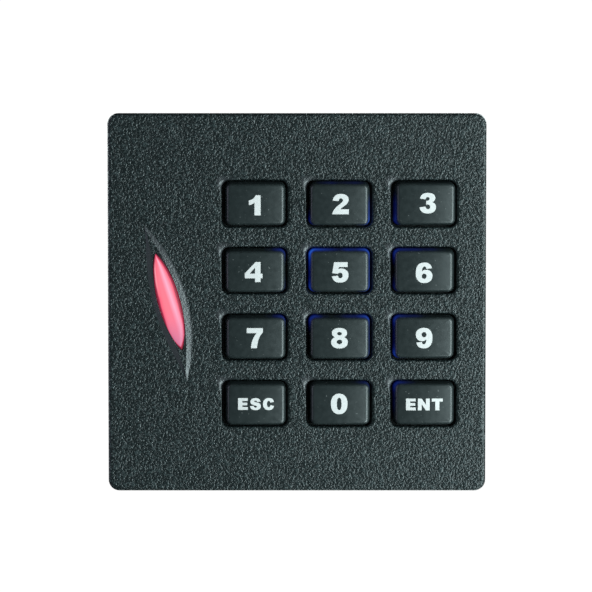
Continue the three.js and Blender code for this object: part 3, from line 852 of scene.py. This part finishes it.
# The flange behind the face and the stem, as (width, height, corner radius), and its depths.
KEY_FLANGE = (16.8, 12.3, 1.5)
KEY_STEM = (8, 5, 0.8)
FLANGE_TOP = 15.9
FLANGE_REAR = 15.0


def glow_at(key, place, x, depth, z):
    """How strongly the backlight shows at a point on a key's skirt."""
    drop = crown(place)(x, z) - depth
    total = 0.0
    for side_x, side_z, strength in GLOWS.get(key, []):
        dx = x - place[0] - side_x * CAP[0] / 2
        dz = z - place[1] - side_z * CAP[1] / 2
        total += strength * math.exp(-(dx * dx + dz * dz) / GLOW_REACH**2)
    below_top = min(max(drop - GLOW_START, 0) / GLOW_FADE, 1)
    if z < place[1] - CAP[1] / 2 + LOW_EDGE:
        from_middle = abs(x - place[0]) - CAP[0] / 2
        total *= min(max(1 + from_middle / LOW_GLOW, 0), 1)
    return total * below_top * math.exp(-((drop - GLOW_DROP) / GLOW_BAND) ** 2)


def key_cap(key):
    """A key: its domed top, its skirt, the flange that keeps it in, and its stem."""
    place = KEY_PLACES[key]
    top = crown(place)
    made = Mesher()

    def outline(grow):
        """The cap's outline at some growth, leaned less the further down it is."""
        width, height, radius = CAP
        lean = min(max(1.0 - CROWN_FADE * grow, 0), 1)
        height += CROWN_TALLER * lean
        loose = KEY_LEANS[key]
        centre = [place[i] + (CROWN_SHIFT[i] + loose[i]) * lean for i in range(2)]
        return shifted(rounded_rectangle(width + 2 * grow, height + 2 * grow, radius + grow), centre)

    first = outline(SHOULDER[0][0])
    rings = []
    for share in (0.2, 0.4, 0.6, 0.8):
        rings.append(made.ring(between([place] * len(first), first, share), top))
    made.fan(rings[0], CROWN_TOP)
    for grow, drop in SHOULDER:
        rings.append(made.ring(outline(grow), lambda x, z, drop=drop: top(x, z) - drop))
    flange = shifted(rounded_rectangle(*KEY_FLANGE), place)
    stem = shifted(rounded_rectangle(*KEY_STEM), place)
    stem_rear = limits(f"key_{key}")[0][1]
    rings.append(made.ring(outline(SHOULDER[-1][0]), FLANGE_TOP))
    rings += [made.ring(flange, FLANGE_TOP), made.ring(flange, FLANGE_REAR)]
    rings += [made.ring(stem, FLANGE_REAR), made.ring(stem, stem_rear)]
    made.stack(rings)
    made.fan(rings[-1], stem_rear)
    glow = [glow_at(key, place, *point) for point in made.points]
    piece = made.piece(f"cap_{key}", KEY, f"button_{key}", marks={"glow": glow})
    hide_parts(f"key_{key}")


def drawn(path, steps=7):
    """Turns a path of points and curves, in hundredths, into a plain outline."""
    path = [tuple(number / 100 for number in item) for item in path]
    points = [path[0]]
    for item in path[1:]:
        if len(item) == 2:
            points.append(item)
            continue
        x0, z0 = points[-1]
        x1, z1, x2, z2, x3, z3 = item
        for step in range(1, steps + 1):
            t = step / steps
            s = 1 - t
            points.append((
                s**3 * x0 + 3 * s * s * t * x1 + 3 * s * t * t * x2 + t**3 * x3,
                s**3 * z0 + 3 * s * s * t * z1 + 3 * s * t * t * z2 + t**3 * z3,
            ))
    if math.dist(points[0], points[-1]) < SAME_END:
        points.pop()
    return points


SIX = [
    (82, 72), (79, 91, 66, 101, 44, 101), (15, 101, 0, 83, 0, 48), (0, 16, 15, -1.5, 43, -1.5),
    (69, -1.5, 85, 12, 85, 33.5), (85, 52, 72, 65, 53, 65), (44, 65, 37, 62, 31, 56),
    (32, 73, 37, 81, 45, 81), (50, 81, 53, 77, 54, 69),
]
SIX_HOLE = (0.43, 0.325, 0.125, 0.13)


def turned_over(points, width):
    """Points of a glyph, turned by half a turn."""
    return [(width - x, 1 - z) for x, z in points]


# Heavy upright letters on a height of 1, as (width, outer outline, holes). In a path, a pair is
# a point to draw a line to, and six numbers are a curve's two handles and its end.
GLYPHS = {
    "0": (0.85, ellipse(0.425, 0.4975, 0.425, 0.5125, 2.25),
          [ellipse(0.425, 0.4975, 0.12, 0.31, 2.3)]),
    "1": (0.60, drawn([
        (60, 0), (60, 100), (35, 100), (30, 86, 16, 76, 0, 74), (0, 51), (12, 52, 22, 57, 29, 64),
        (29, 0),
    ]), []),
    "2": (0.85, drawn([
        (0, 0), (85, 0), (85, 25), (42, 25), (48, 32, 56, 37, 66, 44), (78, 53, 84, 62, 84, 73),
        (84, 90, 70, 101, 44, 101), (20, 101, 6, 90, 3, 68), (33, 65.5), (34, 75, 38, 79, 45, 79),
        (51, 79, 55, 75.5, 55, 70), (55, 64, 51, 59, 40, 51), (20, 36, 5, 23, 0, 0),
    ]), []),
    "3": (0.84, drawn([
        (30, 68), (2, 73), (6, 91, 20, 101, 42, 101), (66, 101, 80, 91, 80, 75.5),
        (80, 66, 75, 59, 64, 54.5), (78, 50.5, 84, 42.5, 84, 31), (84, 11, 68, -1.5, 41, -1.5),
        (17, -1.5, 3, 9, 0, 29), (30, 33), (32, 24, 36, 20, 42, 20), (49, 20, 54, 24.5, 54, 31.5),
        (54, 39, 49, 43, 41, 43), (38.5, 43, 36, 42.5, 33, 41.5), (34.5, 62.5),
        (36, 62.2, 37, 62, 38.5, 62), (46, 62, 51, 66, 51, 72), (51, 77, 47.5, 80, 42, 80),
        (36, 80, 32, 76.5, 30, 68),
    ]), []),
    "4": (0.90, drawn([
        (52, 0), (80, 0), (80, 19), (90, 19), (90, 42), (80, 42), (80, 100), (55, 100), (0, 43),
        (0, 19), (52, 19),
    ]), [drawn([(52, 42), (52, 72), (25, 42)])]),
    "5": (0.85, drawn([
        (11, 100), (80, 100), (80, 76), (36, 76), (34, 66), (38, 68, 42, 69, 47, 69),
        (70, 69, 85, 55, 85, 36), (85, 14, 69, -1.5, 42, -1.5), (18, -1.5, 4, 9, 0, 30), (31, 33),
        (32, 25, 37, 20, 43, 20), (50, 20, 55, 26, 55, 34), (55, 43, 50, 48, 43, 48),
        (38, 48, 34, 46, 30, 42), (2, 46),
    ]), []),
    "6": (0.85, drawn(SIX), [ellipse(*SIX_HOLE)]),
    "7": (0.82, drawn([
        (0, 100), (82, 100), (82, 79), (64, 60, 54, 35, 52, 0), (21, 0), (23, 29, 32, 54, 50, 75),
        (0, 75),
    ]), []),
    "8": (0.85, drawn([
        (42.5, 101), (67, 101, 81, 91, 81, 75.5), (81, 66, 76, 59, 66, 54.5),
        (79, 50, 85, 41, 85, 29.5), (85, 10, 68, -1.5, 42.5, -1.5), (17, -1.5, 0, 10, 0, 29.5),
        (0, 41, 6, 50, 19, 54.5), (9, 59, 4, 66, 4, 75.5), (4, 91, 18, 101, 42.5, 101),
    ]), [ellipse(0.425, 0.725, 0.12, 0.085), ellipse(0.425, 0.31, 0.14, 0.115)]),
    "9": (0.85, turned_over(drawn(SIX), 0.85), [turned_over(ellipse(*SIX_HOLE), 0.85)]),
    "C": (0.93, drawn([
        (93, 34), (89, 11, 75, -1.5, 49, -1.5), (17, -1.5, 0, 19, 0, 50), (0, 81, 18, 101.5, 50, 101.5),
        (75, 101.5, 89, 90, 92, 68), (61, 62), (60, 73, 56, 77, 49, 77), (39, 77, 33.5, 69, 33.5, 50),
        (33.5, 31, 39, 23, 49, 23), (57, 23, 61, 28, 63, 40),
    ]), []),
    "E": (0.83, drawn([
        (0, 0), (83, 0), (83, 25), (36, 25), (36, 39), (78, 39), (78, 62), (36, 62), (36, 76), (82, 76),
        (82, 100), (0, 100),
    ]), []),
    "N": (1.0, drawn([
        (0, 0), (32, 0), (32, 52), (68, 0), (100, 0), (100, 100), (68, 100), (68, 48), (32, 100),
        (0, 100),
    ]), []),
    "S": (0.92, drawn([
        (0, 33), (32, 35), (33, 25, 39, 20, 47, 20), (54, 20, 59, 23.5, 59, 28),
        (59, 32.5, 55, 35, 42, 38), (15, 44, 4, 53, 4, 70), (4, 88, 19, 101.5, 45, 101.5),
        (73, 101.5, 86, 90, 89, 70), (58, 68), (56, 77, 52, 80, 45, 80), (39, 80, 36, 77.5, 36, 74),
        (36, 70, 40, 68, 52, 65.5), (80, 60, 92, 50, 92, 32), (92, 12, 76, -1.5, 48, -1.5),
        (18, -1.5, 2, 10, 0, 33),
    ]), []),
    "T": (0.93, drawn([
        (29, 0), (64, 0), (64, 75), (93, 75), (93, 100), (0, 100), (0, 75), (29, 75),
    ]), []),
}
DIGIT_HEIGHT = 4.56
DIGIT_STRETCH = 0.975
WORD_HEIGHT = 2.68
LETTER_GAP = 0.18
# How far each legend is printed from the middle of its key, as (x, z).
LEGEND_SHIFTS = {
    "1": (0.1, -0.5), "2": (0.3, -0.25), "3": (0.85, 0.0), "4": (-0.15, -0.45),
    "5": (0.25, -0.5), "6": (0.05, -0.6), "7": (0.1, -0.3), "8": (0.1, -0.3),
    "9": (0.1, -0.3), "esc": (0.36, -0.15), "0": (0.05, -0.1), "ent": (0.2, -0.25),
}
INK_PROUD = 0.03
INK_DEPTH = 0.12
INK_EDGE = 0.08  # longest edge of a glyph's outline, on a height of 1
INK_GRID = 0.45


def divided(outline, longest):
    """The outline with points added, so that no edge is longer than that."""
    points = []
    for (x0, z0), (x1, z1) in zip(outline, outline[1:] + outline[:1]):
        pieces = max(1, math.ceil(math.hypot(x1 - x0, z1 - z0) / longest))
        points.extend(
            (x0 + (x1 - x0) * i / pieces, z0 + (z1 - z0) * i / pieces) for i in range(pieces)
        )
    return points


def legend(key):
    """The white legend, a thin inlay that follows the key's domed top."""
    place = KEY_PLACES[key]
    top = crown(place)
    text = key.upper()
    height, stretch = (DIGIT_HEIGHT, DIGIT_STRETCH) if len(text) == 1 else (WORD_HEIGHT, 1)
    total = sum(GLYPHS[c][0] for c in text) + LETTER_GAP * (len(text) - 1)
    shift = LEGEND_SHIFTS[key]
    left = place[0] + shift[0] - total * height * stretch / 2
    base = place[1] + shift[1] - height / 2
    made = Mesher()

    def ink_face(x, z):
        return top(x, z) + INK_PROUD

    def ink_root(x, z):
        return top(x, z) - INK_DEPTH

    for letter in text:
        width, outer, holes = GLYPHS[letter]
        loops = []
        for outline in [outer, *holes]:
            outline = divided(outline, INK_EDGE)
            points = [(left + x * height * stretch, base + z * height) for x, z in outline]
            upper = made.ring(points, ink_face)
            lower = made.ring(points, ink_root)
            made.bridge(upper, lower)
            loops.append((upper, lower))
        made.fill(loops[0][0], [upper for upper, _ in loops[1:]], INK_GRID, ink_face)
        made.fill(loops[0][1], [lower for _, lower in loops[1:]], INK_GRID, ink_root)
        left += (width + LETTER_GAP) * height
    piece = made.piece(f"legend_{key}", INK, f"button_{key}", sharp=30)


# ---- status lens ----

LENS_GAP = 0.06
LENS_SHORTER = 5 * LENS_GAP
LENS_FLANGE = 0.9
LENS_PEAK = FACE + 1.15
LENS_EDGE = FACE + 0.25
LENS_WALL = 0.3  # straight part of its side, just below that edge
LENS_STEPS = 22
LENS_FULLNESS = 2.4  # power of its dome's curve
LENS_SPINE = 0.12  # how much shorter its spine is than its outline, as a share


def lens_ring(scale, chord):
    """The lens outline drawn in towards its spine."""
    return in_leaf_frame(slot_outline(
        (SLOT_LENGTH - LENS_SHORTER) * chord, (SLOT_RIGHT - LENS_GAP) * scale,
        (SLOT_LEFT - LENS_GAP) * scale,
    ))


def lens_marks(x, z):
    """Where a point of the lens lies about its lit part: (inset, across, along)."""
    side, height = on_leaf(x, z)
    along = (height - LIT_MIDDLE) / (LIT_LENGTH / 2)
    bluntness = UPPER_BLUNTNESS if along > 0 else LOWER_BLUNTNESS
    fullness = max(1 - abs(along) ** bluntness, 0)
    right = SLOT_SHIFT[0] + LIT_RIGHT * fullness
    left = SLOT_SHIFT[0] - LIT_LEFT * fullness
    beyond_tip = max(abs(along) - 1, 0) * LIT_LENGTH / 2
    inset = min(right - side, side - left) - beyond_tip
    across = (side - (left + right) / 2) / max((right - left) / 2, LIT_NARROWEST)
    return inset, across, along


def status_lens():
    """The lens, with the flange that holds it behind the face."""
    made = Mesher()
    flange = in_leaf_frame(slot_outline(
        SLOT_LENGTH + 2 * LENS_FLANGE, SLOT_RIGHT + LENS_FLANGE, SLOT_LEFT + LENS_FLANGE,
    ))
    rim = lens_ring(1, 1)
    rings = [made.ring(rim, limits("status_lens")[0][1]), made.ring(rim, FLANGE_REAR)]
    rings += [made.ring(flange, FLANGE_REAR), made.ring(flange, FLANGE_TOP)]
    rings += [made.ring(rim, depth) for depth in (FLANGE_TOP, LENS_EDGE - LENS_WALL, LENS_EDGE)]
    made.fill(rings[0])
    for step in range(1, LENS_STEPS + 1):
        scale = 1 - step / LENS_STEPS
        rise = math.sqrt(1 - scale**LENS_FULLNESS)
        outline = lens_ring(scale, 1 - LENS_SPINE * (1 - scale))
        rings.append(made.ring(outline, LENS_EDGE + (LENS_PEAK - LENS_EDGE) * rise))
    made.stack(rings)
    places = [lens_marks(x, z) for x, _, z in made.points]
    marks = dict(zip(("inset", "across", "along"), zip(*places)))
    piece = made.piece("lens_dome", LENS, "housing", marks=marks)
    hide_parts("status_lens")


# ---- locking screw ----

SCREW_HEAD_RADIUS = 2.2
SCREW_RADIUS = 1.25
SCREW_HEAD_HEIGHT = 1.2
SOCKET_FLAT = 0.8  # from the middle to a flat of the hexagon socket
SOCKET_DEEP = 0.9
SOCKET_CHAMFER = 0.08
TIP_CHAMFER = 0.3
# The head's rounded rim, as (inset, height above its lowest point).
SCREW_RIM = [(1.10, 0.0), (0.55, 0.01), (0.28, 0.06), (0.12, 0.16), (0.03, 0.32), (0.0, 0.5)]


def hexagon_share(angle):
    """How much further out a hexagon reaches than the circle inside it, in a direction."""
    sixth = math.pi / 3
    return 1 / math.cos(angle % sixth - sixth / 2)


def locking_screw():
    """A socket-head screw that stands on Z, seen in its recess in the underside."""
    made = Mesher()
    low = LOCK_LOW[2]

    def level_ring(radius, height, shape=lambda angle: 1):
        first = len(made.points)
        for step in range(ROUND_STEPS):
            angle = 2 * math.pi * step / ROUND_STEPS
            reach = radius * shape(angle)
            depth = LOCK_DEPTH + reach * math.sin(angle)
            made.points.append((reach * math.cos(angle), depth, low + height))
        return list(range(first, len(made.points)))

    rings = [level_ring(SOCKET_FLAT, SOCKET_DEEP, hexagon_share)]
    made.close(rings[0], (0, LOCK_DEPTH, low + SOCKET_DEEP))
    rings.append(level_ring(SOCKET_FLAT, SOCKET_CHAMFER, hexagon_share))
    rings.append(level_ring(SOCKET_FLAT + SOCKET_CHAMFER, 0.0, hexagon_share))
    for inset, height in SCREW_RIM:
        rings.append(level_ring(SCREW_HEAD_RADIUS - inset, height))
    rings.append(level_ring(SCREW_HEAD_RADIUS, SCREW_HEAD_HEIGHT))
    rings.append(level_ring(SCREW_RADIUS, SCREW_HEAD_HEIGHT))
    tip = LOCK_HIGH[2] - low
    rings.append(level_ring(SCREW_RADIUS, tip - TIP_CHAMFER))
    rings.append(level_ring(SCREW_RADIUS - TIP_CHAMFER, tip))
    made.close(rings[-1], (0, LOCK_DEPTH, low + tip))
    made.stack(rings)
    piece = made.piece("lock_screw", STEEL, "housing")
    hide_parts("locking_screw")


# ---- carried-over CAD nodes ----

# The material of each node that isn't replaced, by how its name starts.
NODE_MATERIALS = {
    "rear_cover": REAR, "wall_plate": REAR, "cable_grommet": RUBBER, "perimeter_seal": RUBBER,
    "contact_pill": RUBBER, "keypad_mat": SILICONE, "main_board": LAMINATE, "antenna_coil": COPPER,
    "processor_chip": EPOXY, "radio_chip": EPOXY, "voltage_regulator": EPOXY, "buzzer": EPOXY,
    "clock_crystal": CAN, "smoothing_capacitor": CAN, "cable_socket": NYLON,
    "backlight_led": BLUE_LED, "status_led_red": RED_LED, "status_led_green": GREEN_LED,
    "housing_screw": STEEL, "board_screw": STEEL,
}


def dress_cad_nodes():
    for name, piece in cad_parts.items():
        for start, material in NODE_MATERIALS.items():
            if name.startswith(start):
                piece.data.materials.clear()
                piece.data.materials.append(material)


# ---- stage ----

VIEW_WIDTH = 134.53  # what the picture spans at the face
SENSOR = 36
CAMERA_DISTANCE = 0.52  # in metres, as are the lights' places and sizes and the floor
CAMERA_ELEVATION = math.radians(2.8)
AIM = Vector((-0.21 * MM, -FACE * MM, 1.52 * MM))


def add_camera():
    data = bpy.data.cameras.new("camera")
    data.sensor_width = SENSOR
    data.lens = SENSOR * CAMERA_DISTANCE / (VIEW_WIDTH * MM)
    data.clip_start = 0.01
    data.clip_end = 100
    camera = placed("camera", data)
    back = Vector((0, -math.cos(CAMERA_ELEVATION), math.sin(CAMERA_ELEVATION)))
    camera.location = AIM + back * CAMERA_DISTANCE
    camera.rotation_mode = "QUATERNION"
    camera.rotation_quaternion = (-back).to_track_quat("-Z", "Y")
    bpy.context.scene.camera = camera


STUDIO = (0.87, 1.0, 0.985)
LILAC = (0.94, 0.90, 1.15)
# Soft lights that look at the reader, as (azimuth, elevation, distance, size, power, colour),
# with azimuth 0 in front of it and 90 on its right.
LIGHTS = {
    "key_light": (43, -9, 0.60, (0.24, 0.74), 5.6, STUDIO),
    "left_fill": (-74, 8, 1.0, (0.5, 0.9), 1.7, LILAC),
    "low_right": (38, -36, 0.7, (0.16, 0.16), 0.5, STUDIO),
    "rear_right": (140, 30, 1.0, (0.7, 0.7), 14, STUDIO),
    "rear_left": (-130, 20, 1.0, (0.7, 0.7), 8, STUDIO),
    "under_fill": (150, -50, 1.0, (0.7, 0.7), 6, STUDIO),
}


def add_light(name, azimuth, elevation, distance, size, power, colour):
    data = bpy.data.lights.new(name, "AREA")
    data.shape = "RECTANGLE"
    data.size, data.size_y = size
    data.energy = power
    data.color = colour
    lamp = placed(name, data)
    a, e = math.radians(azimuth), math.radians(elevation)
    away = Vector((math.sin(a) * math.cos(e), -math.cos(a) * math.cos(e), math.sin(e)))
    lamp.location = away * distance
    lamp.rotation_mode = "QUATERNION"
    lamp.rotation_quaternion = away.to_track_quat("Z", "Y")


# How bright the white surroundings are as a light on the reader, and to the camera.
WORLD_LIGHT = 0.05
WORLD_SEEN = 1.05


def add_world():
    world = bpy.data.worlds.new("studio")
    bpy.context.scene.world = world
    world.use_nodes = True
    tree = world.node_tree
    background = tree.nodes["Background"]
    background.inputs["Color"].default_value = (1, 1, 1, 1)
    rays = tree.nodes.new("ShaderNodeLightPath")
    level = tree.nodes.new("ShaderNodeMapRange")
    level.inputs["To Min"].default_value = WORLD_LIGHT
    level.inputs["To Max"].default_value = WORLD_SEEN
    tree.links.new(rays.outputs["Is Camera Ray"], level.inputs["Value"])
    tree.links.new(level.outputs["Result"], background.inputs["Strength"])


FLOOR_REACH = 20
FLOOR_LEVEL = -0.62


def add_floor():
    mesh = bpy.data.meshes.new("floor")
    corners = [(-1, -1), (1, -1), (1, 1), (-1, 1)]
    points = [(x * FLOOR_REACH, y * FLOOR_REACH, FLOOR_LEVEL) for x, y in corners]
    mesh.from_pydata(points, [], [(0, 1, 2, 3)])
    made = Nodes("pale_floor")
    made.set(Base_Color=(0.9, 0.9, 0.9, 1), Roughness=0.9)
    made.set(Emission_Color=(1, 1, 1, 1), Emission_Strength=0.98)
    mesh.materials.append(made.material)
    floor = placed("floor", mesh)
    floor.visible_diffuse = False
    floor.visible_glossy = False


# ---- build ----

add_camera()
front_cover()
for key_name in KEYS:
    key_cap(key_name)
    legend(key_name)
status_lens()
locking_screw()
dress_cad_nodes()
add_floor()
add_world()
for light_name, settings in LIGHTS.items():
    add_light(light_name, *settings)
bpy.context.scene.view_settings.view_transform = "Standard"
